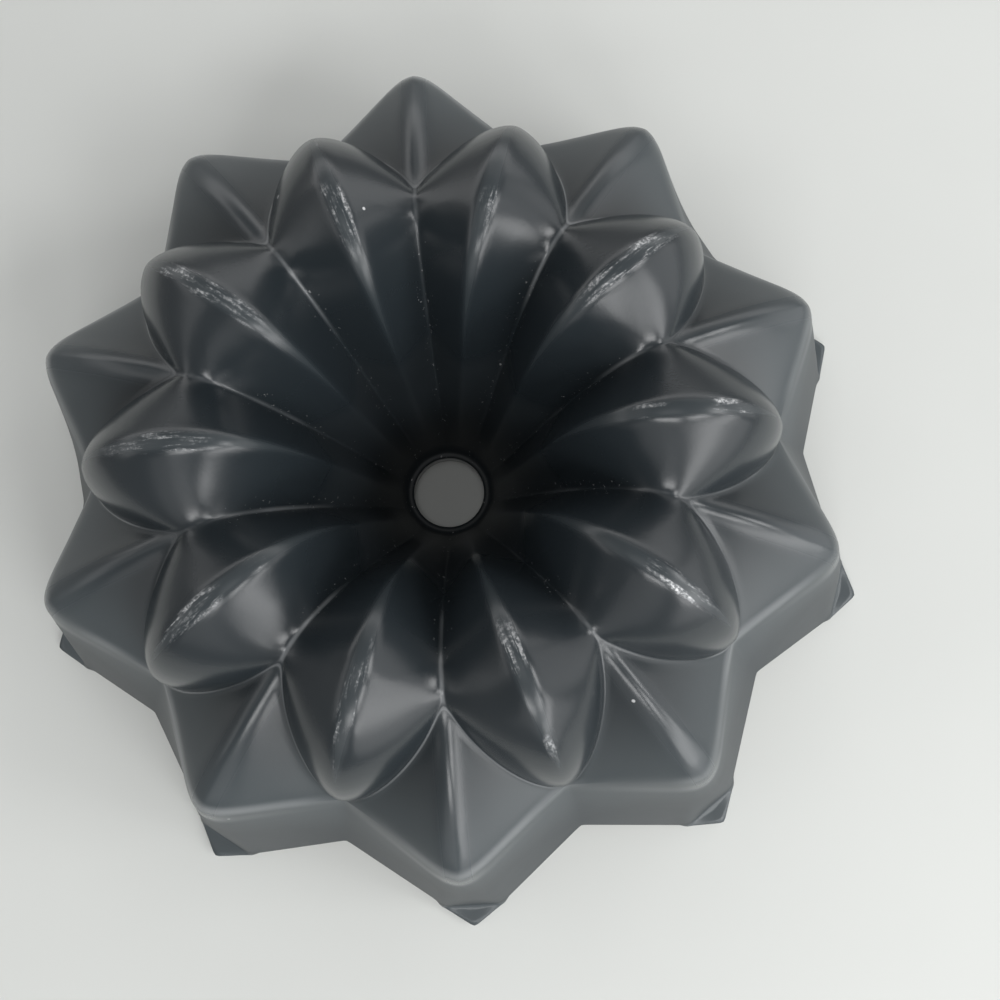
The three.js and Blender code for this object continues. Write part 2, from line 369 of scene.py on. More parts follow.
class HalfPoint:
    """The outer skin from the middle of a star point to the middle of a petal, as rows of points."""

    def __init__(self, settings):
        self.star = settings.star
        self.petals = settings.petals
        self.edges = settings.edges
        self.deepest = settings.layers.lining_face
        self.half_step = math.pi / self.star.point_count
        near = TAB_SHARE * spread(CORNER_COLUMNS, CLOSER_AT_EDGES)
        far = lerp(TAB_SHARE, 1.0, spread(FLANK_COLUMNS, CLOSER_AT_EDGES))
        self.shares = np.concatenate([near, far[1:]])
        self.sharp, self.starts = self.rows()
        self.inwards = self.inward_ways()
        self.soft_across, self.soft_along = self.softness()

    def edge_line(self, middle, corner, valley):
        """A straight edge with its corner taken off, at every column."""
        near = np.clip(self.shares / TAB_SHARE, 0.0, 1.0)[:, None]
        far = np.clip((self.shares - TAB_SHARE) / (1.0 - TAB_SHARE), 0.0, 1.0)[:, None]
        short = lerp(np.array(middle), np.array(corner), near)
        return np.where(near < 1.0, short, lerp(np.array(corner), np.array(valley), far))

    def petal_row(self, crease_point, ridge_point, band=0.0):
        """A row across half a petal: a rounded outline, a convex flank and half of the ridge's flat band."""
        flatness = self.petals.flank_flatness

        def flank(shares):
            fall = 1.0 - shares
            swing = 1.0 - fall**self.petals.outline_roundness
            rise = 1.0 - flatness * fall - (1.0 - flatness) * fall**3
            return swing, rise

        band_start = 1.0 - band / (ridge_point[0] * self.half_step)
        swing, rise = (
            np.minimum(1.0, part / top) for part, top in zip(flank(self.shares), flank(band_start))
        )
        radius = lerp(crease_point[0], ridge_point[0], swing)
        height = lerp(crease_point[1], ridge_point[1], rise)
        return polar(radius, self.shares * self.half_step, height)

    def ridge_nose(self, turn):
        """The ridge from the shoulder valley (turn 0) to the crest (turn 1), a quarter of an ellipse."""
        star, petals = self.star, self.petals
        radius = lerp(petals.crest_radius, star.shoulder_valley_radius, math.cos(turn * math.pi / 2))
        height = lerp(star.shoulder_valley_height, petals.crest_height, math.sin(turn * math.pi / 2))
        return radius, height

    def key_rows(self):
        """The rows at which the surface has an edge, from the rim up to the petals' outline."""
        star, petals = self.star, self.petals
        base = star.rim_tip_radius - star.tab_depth
        half_width = star.tab_width / 2
        valley = polar(star.rim_valley_radius, self.half_step, star.rim_valley_height)
        rim = self.edge_line((star.rim_tip_radius, 0, 0), (base, half_width, 0), valley)
        wall_line = self.edge_line((base, 0, 0), (base, half_width, 0), valley)
        tip = np.array((star.shoulder_tip_radius, 0, star.shoulder_tip_height))
        dip = polar(star.shoulder_valley_radius, self.half_step, star.shoulder_valley_height)
        corner = lerp(tip, dip, star.corner_length / np.linalg.norm(dip - tip))
        shoulder = self.edge_line(tip, corner, dip)
        past_tab = ease((self.shares - TAB_SHARE) / TAB_FADE)[:, None]
        slope = shoulder - wall_line
        slope /= np.linalg.norm(slope, axis=1, keepdims=True)
        way = lerp(np.array((0.0, 0.0, 1.0)), slope, past_tab)
        climb = lerp(star.tab_thickness, TAB_STEP, past_tab)
        tab_top = rim + way * climb
        on_wall = np.clip(self.shares / TAB_SHARE, 0.0, 1.0)[:, None]
        foot = wall_line + way * (climb + TAB_STEP * on_wall)
        junction = np.array((petals.junction_radius, 0, petals.junction_height))
        normal = np.cross(dip - tip, junction - tip)
        outline = self.petal_row(junction[[0, 2]], (star.shoulder_valley_radius, star.shoulder_valley_height))
        outline[:, 2] = tip[2] - ((outline[:, :2] - tip[:2]) @ normal[:2]) / normal[2]
        return rim, tab_top, foot, shoulder, outline

    def rows(self):
        """All rows of the sharp skin, and the number of each section's first row."""
        petals = self.petals
        rim, tab_top, foot, shoulder, outline = self.key_rows()
        ring_radius = petals.hole_radius + petals.ring_width
        ring_end = (ring_radius, petals.ring_height)
        ridge_curve = (
            (petals.crest_radius, petals.crest_height),
            (petals.crest_radius - petals.ridge_reach, petals.crest_height),
            (ring_radius + petals.ridge_throat_spread, petals.ring_height + petals.ridge_throat_rise),
            ring_end,
        )
        crease_curve = (
            (petals.junction_radius, petals.junction_height),
            (petals.junction_radius - petals.crease_reach, petals.junction_height + petals.crease_lift),
            (ring_radius + petals.crease_throat_spread, petals.ring_height + petals.crease_throat_rise),
            ring_end,
        )
        step_up = outline - self.petal_row(crease_curve[0], self.ridge_nose(0.0))

        def nose(turn):
            crease_part = CREST_SHARE_OF_CREASE * turn**NOSE_CREASE_EASE
            band = petals.band_half_width * lens((1.0 - turn) / (1.0 - BAND_START))
            row = self.petal_row(bezier(crease_curve, crease_part), self.ridge_nose(turn), band)
            return row + step_up * max(0.0, 1.0 - turn / NOSE_FOOT_TURN) ** 2

        def funnel(turn):
            crease_part = lerp(CREST_SHARE_OF_CREASE, 1.0, turn)
            band = petals.band_half_width * lens(turn / BAND_END)
            return self.petal_row(bezier(crease_curve, crease_part), bezier(ridge_curve, turn), band)

        def facet(turn):
            run = np.linalg.norm(outline - shoulder, axis=1)
            swell = self.star.facet_bulge * (run / run[0]) ** 2 * 4.0 * turn * (1.0 - turn)
            return lerp(shoulder, outline, turn) + swell[:, None] * np.array((0.0, 0.0, 1.0))

        hole = polar(petals.hole_radius, self.shares * self.half_step, petals.ring_height)
        sections = {
            "tab_edge": lambda turn: lerp(rim, tab_top, turn),
            "tab_top": lambda turn: lerp(tab_top, foot, turn),
            "wall": lambda turn: lerp(foot, shoulder, turn),
            "facet": facet,
            "nose": nose,
            "funnel": funnel,
            "ring": lambda turn: lerp(funnel(1.0), hole, turn),
        }
        rows, starts = [rim], {}
        for name, place in sections.items():
            starts[name] = len(rows) - 1
            pull = 0.0 if name == "funnel" else CLOSER_AT_EDGES
            rows += [place(turn) for turn in spread(SECTION_ROWS[name], pull)[1:]]
        starts["hole"] = len(rows) - 1
        return np.array(rows), starts

    def with_mirrors(self, grid):
        """The half point with one more column on both sides, as its mirror images give them."""
        cos, sin = math.cos(2 * self.half_step), math.sin(2 * self.half_step)
        over = np.array(((cos, sin, 0), (sin, -cos, 0), (0, 0, 1)))
        before = grid[:, 1:2] * (1, -1, 1)
        after = grid[:, -2:-1] @ over.T
        return np.concatenate([before, grid, after], axis=1)

    def inward_ways(self):
        """The way into the metal at every point, from a coarse cage, so that no layer folds at an edge."""
        starts = self.starts
        wall_middle = starts["wall"] + SECTION_ROWS["wall"] // 2
        nose_rows = starts["nose"] + np.arange(0, SECTION_ROWS["nose"], CAGE_STEP)
        funnel_rows = starts["funnel"] + np.arange(CAGE_STEP, SECTION_ROWS["funnel"], CAGE_STEP)
        cage_rows = np.array([0, starts["tab_top"], starts["wall"], wall_middle, starts["facet"], *nose_rows])
        cage_rows = np.concatenate([cage_rows, funnel_rows, [starts["ring"], starts["hole"]]])
        cage_columns = np.searchsorted(self.shares, CAGE_SHARES)
        cage = self.with_mirrors(self.sharp[np.ix_(cage_rows, cage_columns)])

        # A point of the cage goes in along the mean of the faces around it, and further at a sharp turn.
        faces = np.cross(cage[1:, 1:] - cage[:-1, :-1], cage[1:, :-1] - cage[:-1, 1:])
        sizes = np.linalg.norm(faces, axis=-1, keepdims=True)
        faces = np.where(sizes > SMALLEST_FACE, faces / np.maximum(sizes, SMALLEST_FACE), 0.0)
        rows, columns = len(cage_rows), len(cage_columns)
        around = np.zeros((4, rows, columns, 3))
        around[0, 1:] = faces[:, :-1]
        around[1, 1:] = faces[:, 1:]
        around[2, :-1] = faces[:, :-1]
        around[3, :-1] = faces[:, 1:]
        mean = around.sum(axis=0)
        level = np.zeros((rows, columns), bool)
        level[0] = True
        level[1:3, 2:] = True
        mean[level, 2] = 0.0
        mean[-1] = (0.0, 0.0, 1.0)
        mean /= np.linalg.norm(mean, axis=-1, keepdims=True)
        counted = (np.linalg.norm(around, axis=-1) > 0.5).sum(axis=0)
        agreement = (around * mean).sum(axis=-1).sum(axis=0) / counted
        ways = -mean * np.minimum(LONGEST_MITRE, 1.0 / agreement)[..., None]

        # Every point of the skin takes its way from the four points of the cage around it.
        every_row = np.arange(len(self.sharp))
        low = np.clip(np.searchsorted(cage_rows, every_row, side="right") - 1, 0, rows - 2)
        from_rim = self.gaps(self.sharp)[2]
        start, end = from_rim[cage_rows[low]], from_rim[cage_rows[low + 1]]
        by_row = ((every_row - cage_rows[low]) / (cage_rows[low + 1] - cage_rows[low]))[:, None]
        apart = end - start > SHORTEST_RUN
        up = np.where(apart, (from_rim - start) / np.where(apart, end - start, 1.0), by_row)[..., None]
        marks = np.interp(self.shares, self.shares[cage_columns], np.arange(columns))
        left = np.minimum(marks.astype(int), columns - 2)
        right = (marks - left)[None, :, None]
        lower = lerp(ways[np.ix_(low, left)], ways[np.ix_(low, left + 1)], right)
        upper = lerp(ways[np.ix_(low + 1, left)], ways[np.ix_(low + 1, left + 1)], right)
        every_way = lerp(lower, upper, up)

        # None of them crosses the petal's middle, where the other half lies.
        to_ridge = np.array((-math.sin(self.half_step), math.cos(self.half_step), 0.0))
        room = -ROOM_USED * (self.sharp @ to_ridge) / self.deepest
        too_far = np.maximum(0.0, every_way @ to_ridge - room)
        return every_way - too_far[..., None] * to_ridge

    def gaps(self, grid):
        """Distances along the surface: from the point's middle, from the petal's middle, and from the rim."""
        across = np.linalg.norm(np.diff(grid, axis=1), axis=-1)
        from_middle = np.pad(np.cumsum(across, axis=1), ((0, 0), (1, 0)))
        along = np.linalg.norm(np.diff(grid, axis=0), axis=-1)
        from_rim = np.pad(np.cumsum(along, axis=0), ((1, 0), (0, 0)))
        return from_middle, from_middle[:, -1:] - from_middle, from_rim

    def softness(self):
        """How far the edges are rounded at every point, across the columns and along them."""
        edges, starts = self.edges, self.starts
        from_middle, from_ridge, from_rim = self.gaps(self.sharp)
        marks = [0, starts["wall"], starts["wall"] + 1, starts["facet"]]
        marks += [starts["facet"] + row for row in RIDGE_ROWS]
        marks += [starts["nose"], starts["nose"] + 2, starts["funnel"], starts["ring"], starts["hole"]]
        middle = [edges.tab_tip, edges.tab_tip, edges.wall_corner, edges.point_tip, edges.point_ridge]
        middle += [edges.point_ridge, edges.point_root] + [edges.crease] * 4
        ridge = [edges.wall_valley] * 7 + [edges.petal_ridge] * 3 + [edges.ring]
        tab_end = [edges.tab_rim, edges.tab_rim, edges.wall_corner, edges.wall_corner] + [0.0] * 7
        every_row = np.arange(len(self.sharp))
        middle, ridge, tab_end = (
            np.interp(every_row, marks, values)[:, None] for values in (middle, ridge, tab_end)
        )
        from_tab_end = np.abs(from_middle - from_middle[:, [CORNER_COLUMNS]])

        def bump(gap, width, reach=EDGE_REACH):
            width = np.maximum(width, NARROWEST_EDGE)
            return width * np.exp(-((gap / (reach * width)) ** 2))

        from_band = np.maximum(0.0, from_ridge - self.petals.band_half_width)
        across = np.maximum(bump(from_band, ridge), bump(from_tab_end, tab_end))
        across = np.maximum(across, bump(from_middle, middle, RIDGE_REACH))
        soft_rows = {"tab_top": edges.tab_rim, "wall": edges.tab_rim, "facet": edges.shoulder}
        soft_rows |= {"nose": edges.outline, "ring": edges.ring}
        along = np.zeros_like(across)
        for name, width in soft_rows.items():
            along = np.maximum(along, bump(np.abs(from_rim - from_rim[starts[name]]), width))
        return across, along

    def softened(self, grid):
        """A sharp grid with its edges rounded, by letting each point settle between its neighbours."""

        def lengths(way):
            return np.maximum(np.linalg.norm(way, axis=-1), SHORTEST_GAP)

        def settle(before, here, after, gap_before, gap_after, width):
            total = (gap_before + gap_after)[..., None]
            mean = (before * gap_after[..., None] + after * gap_before[..., None]) / total
            rate = width**2 / (SOFTENING_PASSES * gap_before * gap_after)
            return here + (mean - here) * np.minimum(rate, FASTEST_SETTLING)[..., None]

        # The gaps across are measured once, so that the columns beside a ridge do not run together.
        across = lengths(np.diff(self.with_mirrors(grid), axis=1))
        for _ in range(SOFTENING_PASSES):
            wide = self.with_mirrors(grid)
            grid = settle(wide[:, :-2], grid, wide[:, 2:], across[:, :-1], across[:, 1:], self.soft_across)
            along = lengths(np.diff(grid, axis=0))
            grid[1:-1] = settle(grid[:-2], grid[1:-1], grid[2:], along[:-1], along[1:], self.soft_along[1:-1])
        return grid

    def layer(self, depth):
        """The skin moved into the metal by a depth, with its foot tab."""
        return self.softened(self.sharp + self.inwards * depth)

    def edge_marks(self, grid):
        """Distances from the star's upper edge and from the petals' outline, below 0 under them."""
        from_rim = self.gaps(grid)[2]
        rows = {"shoulder_gap": self.starts["facet"], "outline_gap": self.starts["nose"]}
        return {name: from_rim - from_rim[row] for name, row in rows.items()}

    def food_side(self, depth):
        """The skin moved to the food side, where the wall has no tab and ends level with the rim."""
        foot = self.starts["wall"]
        rim = np.where((self.shares <= TAB_SHARE)[:, None], self.sharp[foot], self.sharp[0])
        rim[:, 2] = self.sharp[0][:, 2]
        return np.concatenate([[rim + self.inwards[0] * depth], self.layer(depth)[foot + 2 :]])


def whole_point(grid):
    """A half point and its mirror image, as one star point from valley to valley."""
    mirrored = grid[:, :0:-1] * (1, -1, 1)
    return np.concatenate([mirrored, grid], axis=1)


def strip_faces(rows, columns, first):
    """Four-cornered faces between neighbouring rows and columns."""
    index = first + np.arange(rows * columns).reshape(rows, columns)
    return np.stack([index[:-1, :-1], index[:-1, 1:], index[1:, 1:], index[1:, :-1]], axis=-1).reshape(-1, 4)


def point_mesh(name, outside, inside, marks=None):
    """One star point of a layer: both sides, the rim's edge and the hole's wall, with marks on its outside."""
    outside, inside = whole_point(outside), whole_point(inside)
    rows, columns = outside.shape[:2]
    inner_rows = inside.shape[0]
    inner_first = rows * columns
    outer = np.arange(inner_first).reshape(rows, columns)
    inner = inner_first + np.arange(inner_rows * columns).reshape(inner_rows, columns)
    faces = [strip_faces(rows, columns, 0), strip_faces(inner_rows, columns, inner_first)[:, ::-1]]
    for upper, lower in ((inner[0], outer[0]), (outer[-1], inner[-1])):
        faces.append(np.stack([upper[:-1], upper[1:], lower[1:], lower[:-1]], axis=-1))
    mesh = bpy.data.meshes.new(name)
    points = np.concatenate([outside.reshape(-1, 3), inside.reshape(-1, 3)])
    mesh.from_pydata(points.tolist(), [], np.concatenate(faces).tolist())
    for mark, values in (marks or {}).items():
        side = np.concatenate([values[:, :0:-1], values], axis=1)
        both = np.concatenate([side.ravel(), np.full(inner_rows * columns, side.max())])
        attribute = mesh.attributes.new(mark, "FLOAT", "POINT")
        attribute.data.foreach_set("value", both.astype(np.float32))
    return mesh


def add_node(tree, kind, links=(), **settings):
    """Adds a node with its settings. A link is a socket, a node (its first output) or a plain value."""
    node = tree.nodes.new(kind)
    for name, value in settings.items():
        setattr(node, name, value)
    for key, value in links.items() if isinstance(links, dict) else enumerate(links):
        if isinstance(value, bpy.types.Node):
            value = next(output for output in value.outputs if output.enabled)
        if isinstance(value, bpy.types.NodeSocket):
            tree.links.new(value, node.inputs[key])
        else:
            node.inputs[key].default_value = value
    return node


def to_linear(hex_value):
    """An sRGB hex value as the linear colour that Blender works in."""
    parts = [int(hex_value[start : start + 2], 16) / 255 for start in (1, 3, 5)]
    linear = [part / 12.92 if part <= 0.04045 else ((part + 0.055) / 1.055) ** 2.4 for part in parts]
    return (*linear, 1.0)


def ring_tree():
    """The tree that sets a star point around the axis as often as the star has points, and welds them."""
    tree = bpy.data.node_groups.new("Points around the tube", "GeometryNodeTree")
    inputs = {"Point": "Geometry", "Points": "Int", "First angle": "Float", "Weld distance": "Float"}
    for name, kind in (inputs | {"Material": "Material"}).items():
        tree.interface.new_socket(name, in_out="INPUT", socket_type="NodeSocket" + kind)
    tree.interface.new_socket("Pan", in_out="OUTPUT", socket_type="NodeSocketGeometry")
    add = partial(add_node, tree)
    given = add("NodeGroupInput").outputs
    places = add("GeometryNodePoints", {"Count": given["Points"]})
    step = add(MATH, (2 * math.pi, given["Points"]), operation="DIVIDE")
    index = add("GeometryNodeInputIndex")
    turn = add(MATH, (index, step, given["First angle"]), operation="MULTIPLY_ADD")
    angle = add("ShaderNodeCombineXYZ", {"Z": turn})
    placed = {"Points": places, "Instance": given["Point"], "Rotation": angle}
    real = add("GeometryNodeRealizeInstances", {"Geometry": add("GeometryNodeInstanceOnPoints", placed)})
    welded = add("GeometryNodeMergeByDistance", {"Geometry": real, "Distance": given["Weld distance"]})
    smooth = add("GeometryNodeSetShadeSmooth", {"Geometry": welded})
    coloured = add("GeometryNodeSetMaterial", {"Geometry": smooth, "Material": given["Material"]})
    add("NodeGroupOutput", {"Pan": coloured})
    return tree


def pan_layer(context, name, mesh, material):
    """Sets a star point's mesh all around the tube, and keeps the result as a plain mesh at the origin."""
    settings = context.scene.star_pan
    piece = bpy.data.objects.new(name, mesh)
    context.scene.collection.objects.link(piece)
    tree = bpy.data.node_groups.get("Points around the tube") or ring_tree()
    modifier = piece.modifiers.new("Points around the tube", "NODES")
    modifier.node_group = tree
    values = {
        "Points": settings.star.point_count,
        "First angle": math.pi / 2,
        "Weld distance": WELD_DISTANCE,
        "Material": material,
    }
    for item in tree.interface.items_tree:
        if item.in_out == "INPUT" and item.name in values:
            modifier[item.identifier] = values[item.name]
    evaluated = piece.evaluated_get(context.evaluated_depsgraph_get())
    whole = bpy.data.meshes.new_from_object(evaluated)
    piece.modifiers.remove(modifier)
    piece.data = whole
    bpy.data.meshes.remove(mesh)
    whole.name = name
    if not whole.polygons or not whole.materials:
        raise RuntimeError(f"{name} came out without faces or without its material")
    return piece


def new_material(name, patterns):
    """A material with an empty tree, the way to add nodes to it, its coordinates and its noise patterns."""
    material = bpy.data.materials.new(name)
    material.use_nodes = True
    material.node_tree.nodes.clear()
    add = partial(add_node, material.node_tree)
    place = add("ShaderNodeTexCoord").outputs["Object"]
    noises = {}
    for pattern, (size, detail, harshness) in patterns.items():
        links = {"Vector": place, "Scale": 1.0 / (size * MM), "Detail": detail, "Roughness": harshness}
        noises[pattern] = add(NOISE, links)
    return material, add, place, noises


def where(add, *ramps):
    """1 where every ramp (a value, its start and its end) is past its end, and 0 where one has not started."""
    masks = [add(RANGE, ramp, interpolation_type="SMOOTHSTEP") for ramp in ramps]
    return reduce(lambda first, second: add(MATH, (first, second), operation="MULTIPLY"), masks)


def coat_material(settings, half_step):
    """Baked black satin coat on a casting: polished petals, a dull star, and scuffs along the ridges."""
    colours, petals, wear = settings.colours, settings.petals, settings.wear
    material, add, place, noises = new_material("Baked satin coat", COAT_PATTERNS)

    # Distances from the axis, from the nearest ridge, from the nearest crease and from the star's edges.
    x, y, height = add("ShaderNodeSeparateXYZ", (place,)).outputs
    level = add(VECTOR, (place, (1.0, 1.0, 0.0)), operation="MULTIPLY")
    radius = add(VECTOR, (level,), operation="LENGTH")
    turn = add(MATH, (add(MATH, (y, x), operation="ARCTAN2"), half_step), operation="PINGPONG")
    from_ridge = add(MATH, (turn, radius), operation="MULTIPLY")
    turn_left = add(MATH, (half_step, turn), operation="SUBTRACT")
    from_crease = add(MATH, (turn_left, radius), operation="MULTIPLY")
    signed_edge = add("ShaderNodeAttribute", attribute_name="shoulder_gap").outputs["Fac"]
    edge = add(MATH, (signed_edge,), operation="ABSOLUTE")
    past_corner = add("ShaderNodeAttribute", attribute_name="outline_gap").outputs["Fac"]
    corner = add(MATH, (past_corner,), operation="ABSOLUTE")

    # The land along each ridge is worn dull and lightened, and so are the foot tabs: wear and painted light.
    # The land is a lens, widest at the crest.
    off_crest = add(MATH, (radius, petals.crest_radius), operation="SUBTRACT")
    off_crest = add(MATH, (off_crest, wear.land_reach), operation="DIVIDE")
    thinner = add(MATH, (off_crest, off_crest), operation="MULTIPLY")
    lens_part = add(MATH, (1.0, thinner), operation="SUBTRACT")
    half_width = add(MATH, (lens_part, petals.band_half_width), operation="MULTIPLY")
    land_place = add(MATH, (half_width, from_ridge), operation="SUBTRACT")
    land = add(MATH, (where(add, (land_place, *LAND_RAMP)), LAND_STRENGTH), operation="MULTIPLY")
    tab = where(add, (radius, *TAB_RADIUS_RAMP), (height, *TAB_HEIGHT_RAMP))
    rubbed_and_painted_light = add(MATH, (land, tab), operation="MAXIMUM")

    # Scuffs: grey streaks drawn out along the edges of that land, mostly on its outer half.
    outwards = add(VECTOR, (level,), operation="NORMALIZE")
    across = add(VECTOR, {0: outwards, 3: petals.crest_radius / wear.streak_width}, operation="SCALE")
    along = add("ShaderNodeCombineXYZ", {"Z": add(MATH, (radius, wear.streak_length), operation="DIVIDE")})
    drawn_out = add(VECTOR, (across, along), operation="ADD")
    streaks = add(NOISE, {"Vector": drawn_out, "Scale": 1.0, "Detail": 5.0, "Roughness": 0.7})
    land_edge = add(MATH, (land_place, SCUFF_INSET), operation="SUBTRACT")
    off_edge = add(MATH, (land_edge,), operation="ABSOLUTE")
    outer_half = add(MATH, (radius, wear.scuff_radius), operation="SUBTRACT")
    off_middle = add(MATH, (outer_half,), operation="ABSOLUTE")
    scuff = where(
        add,
        (off_edge, wear.scuff_width, SCUFF_FULL),
        (off_middle, wear.scuff_reach, SCUFF_FULL_REACH),
        (streaks, *STREAK_RAMP),
        (noises["scuffed_places"], *SCUFFED_RAMP),
    )

    # Bare metal: grains in the scuffs, specks low in the creases and a few stray chips.
    bare = add(MATH, (scuff, where(add, (noises["grit"], *GRIT_RAMP))), operation="MULTIPLY")
    low_in_crease = ((from_crease, *SPECK_CREASE_RAMP), (radius, *SPECK_RADIUS_RAMP))
    specks = where(add, *low_in_crease, (noises["specks"], *SPECK_RAMP))
    cells = add("ShaderNodeTexVoronoi", {"Vector": place, "Scale": 1.0 / wear.chip_spacing}).outputs
    chance = add("ShaderNodeSeparateXYZ", (cells["Color"],))
    chip = where(add, (cells["Distance"], *CHIP_SIZE_RAMP), (chance, *CHIP_RAMP))
    for marks in (specks, chip):
        bare = add(MATH, (bare, marks), operation="MAXIMUM")

    # The star is duller than the petals, and its colour is lightened towards its upper edge: dusty film and
    # painted light.
    # Pale painted highlights run along edges, outlines and creases.
    clouds = noises["clouds"]
    on_star = (past_corner, *STAR_RAMP)
    star = where(add, on_star)
    edge_dust_and_light_ramp = (edge, wear.dust_and_light_reach, DUST_AND_LIGHT_FULL, *DUST_AND_LIGHT_STRENGTH)
    edge_dust_and_light = add(RANGE, edge_dust_and_light_ramp, interpolation_type="SMOOTHSTEP")
    haze = add(MATH, (clouds, CLOUD_DUST), operation="MULTIPLY")
    star_dust_and_painted_light = add(MATH, (star, edge_dust_and_light, haze), operation="MULTIPLY_ADD")
    painted_highlight_lines = where(add, (edge, wear.edge_line, EDGE_LINE_FULL))
    corner_highlight = where(add, (corner, wear.thin_line, THIN_LINE_FULL))
    in_crease = (from_crease, wear.thin_line, THIN_LINE_FULL)
    crease_highlight = where(add, in_crease, (past_corner, *PETAL_RAMP), (radius, *CREASE_RADIUS_RAMP))
    for marks in (corner_highlight, crease_highlight):
        painted_highlight_lines = add(MATH, (painted_highlight_lines, marks), operation="MAXIMUM")
    # Painted highlights, broken up by noise.
    pale = add(MATH, (painted_highlight_lines, where(add, (noises["highlight_and_scuff"], *HIGHLIGHT_BREAKUP_RAMP))), operation="MULTIPLY")

    base = add(MIX, {0: star_dust_and_painted_light, 6: to_linear(colours.coat), 7: to_linear(colours.coat_dust_and_painted_light)}, data_type="RGBA")
    washes = (
        (pale, HIGHLIGHT_WASH, colours.highlight_and_scuff),
        (rubbed_and_painted_light, RUBBED_AND_LIGHT_WASH, colours.coat_dust_and_painted_light),
        (scuff, SCUFF_WASH, colours.highlight_and_scuff),
    )
    for marks, most, hex_value in washes:
        part = add(MATH, (marks, most), operation="MULTIPLY")
        base = add(MIX, {0: part, 6: base, 7: to_linear(hex_value)}, data_type="RGBA")
    base = add(MIX, {0: bare, 6: base, 7: to_linear(colours.metal)}, data_type="RGBA")
    metallic = add(MATH, (bare, BARE_METALLIC), operation="MULTIPLY")

    dull = add(RANGE, (clouds, 0.0, 1.0, *PETAL_ROUGHNESS))
    star_dull = add(RANGE, (clouds, 0.0, 1.0, *STAR_ROUGHNESS))
    star_ridge = where(add, on_star, (from_crease, *STAR_RIDGE_RAMP))
    wall = where(add, (height, *WALL_RAMP))
    finishes = ((star, star_dull), (star_ridge, STAR_RIDGE_ROUGHNESS), (wall, WALL_ROUGHNESS))
    finishes += ((rubbed_and_painted_light, RUBBED_ROUGHNESS), (scuff, SCUFF_ROUGHNESS))
    for marks, finish in finishes:
        dull = add(MIX, {0: marks, 2: dull, 3: finish})

    uneven = add(MATH, (noises["waves"], WAVES_TO_GRAIN, noises["grain"]), operation="MULTIPLY_ADD")
    bump = add("ShaderNodeBump", {"Height": uneven, "Distance": COAT_BUMP})
    links = {"Base Color": base, "Metallic": metallic, "Roughness": dull, "Normal": bump}
    add("ShaderNodeOutputMaterial", {"Surface": add("ShaderNodeBsdfPrincipled", links)})
    return material


def metal_material(settings):
    """Cast aluminium: bright, with the frosted grain that a mould leaves."""
    material, add, _, noises = new_material("Cast aluminium", METAL_PATTERNS)
    bright = to_linear(settings.colours.metal)
    dark = tuple(part * METAL_DARK_TONE for part in bright[:3]) + (1.0,)
    links = {
        "Base Color": add(MIX, {0: noises["frost"], 6: dark, 7: bright}, data_type="RGBA"),
        "Metallic": 1.0,
        "Roughness": add(RANGE, (noises["frost"], 0.0, 1.0, *METAL_ROUGHNESS)),
        "Normal": add("ShaderNodeBump", {"Height": noises["frost"], "Distance": METAL_BUMP}),
    }
    add("ShaderNodeOutputMaterial", {"Surface": add("ShaderNodeBsdfPrincipled", links)})
    return material


def lining_material(settings):
    """Non-stick lining: charcoal with fine lighter flecks and a soft sheen."""
    material, add, _, noises = new_material("Non-stick lining", LINING_PATTERNS)
    colours, clouds = settings.colours, noises["clouds"]
    haze = add(MATH, (clouds, LINING_HAZE), operation="MULTIPLY")
    flecks = where(add, (noises["flecks"], *SPECK_RAMP))
    light = add(MATH, (flecks, FLECK_STRENGTH, haze), operation="MULTIPLY_ADD")
    base = {0: light, 6: to_linear(colours.lining), 7: to_linear(colours.coat_dust_and_painted_light)}
    links = {
        "Base Color": add(MIX, base, data_type="RGBA"),
        "Roughness": add(RANGE, (clouds, 0.0, 1.0, *LINING_ROUGHNESS)),
        "Normal": add("ShaderNodeBump", {"Height": noises["grain"], "Distance": LINING_BUMP}),
    }
    add("ShaderNodeOutputMaterial", {"Surface": add("ShaderNodeBsdfPrincipled", links)})
    return material


def table_material(settings):
    """Pale laminate table top, faintly cloudy and almost matt."""
    material, add, _, noises = new_material("Pale table top", TABLE_PATTERNS)
    pale = to_linear(settings.colours.table)
    dark = tuple(part * TABLE_DARK_TONE for part in pale[:3]) + (1.0,)
    links = {
        "Base Color": add(MIX, {0: noises["clouds"], 6: dark, 7: pale}, data_type="RGBA"),
        "Roughness": add(RANGE, (noises["clouds"], 0.0, 1.0, *TABLE_ROUGHNESS)),
    }
    add("ShaderNodeOutputMaterial", {"Surface": add("ShaderNodeBsdfPrincipled", links)})
    return material


class PAN_OT_outer_coat(Operator):
    """Makes the black coat on the outer side of the pan"""

    bl_idname = "star_pan.outer_coat"
    bl_label = "Outer coat"

    def execute(self, context):
        settings = context.scene.star_pan
        half = HalfPoint(settings)
        outside, inside = half.layer(0.0), half.layer(settings.layers.coat_back)
        mesh = point_mesh("outer_coat_point", outside, inside, half.edge_marks(outside))
        material = coat_material(settings, half.half_step)
        piece = pan_layer(context, "outer_coat_satin", mesh, material)
        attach(piece, "root")
        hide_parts("outer_coat")
        return {"FINISHED"}


class PAN_OT_casting(Operator):
    """Makes the aluminium casting between the two coats"""

    bl_idname = "star_pan.casting"
    bl_label = "Casting"

    def execute(self, context):
        settings = context.scene.star_pan
        half = HalfPoint(settings)
        layers = settings.layers
        outside, inside = half.layer(layers.cast_outside), half.food_side(layers.cast_inside)
        mesh = point_mesh("casting_point", outside, inside)
        piece = pan_layer(context, "cast_shell_metal", mesh, metal_material(settings))
        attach(piece, "root")
        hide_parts("cast_shell")
        return {"FINISHED"}


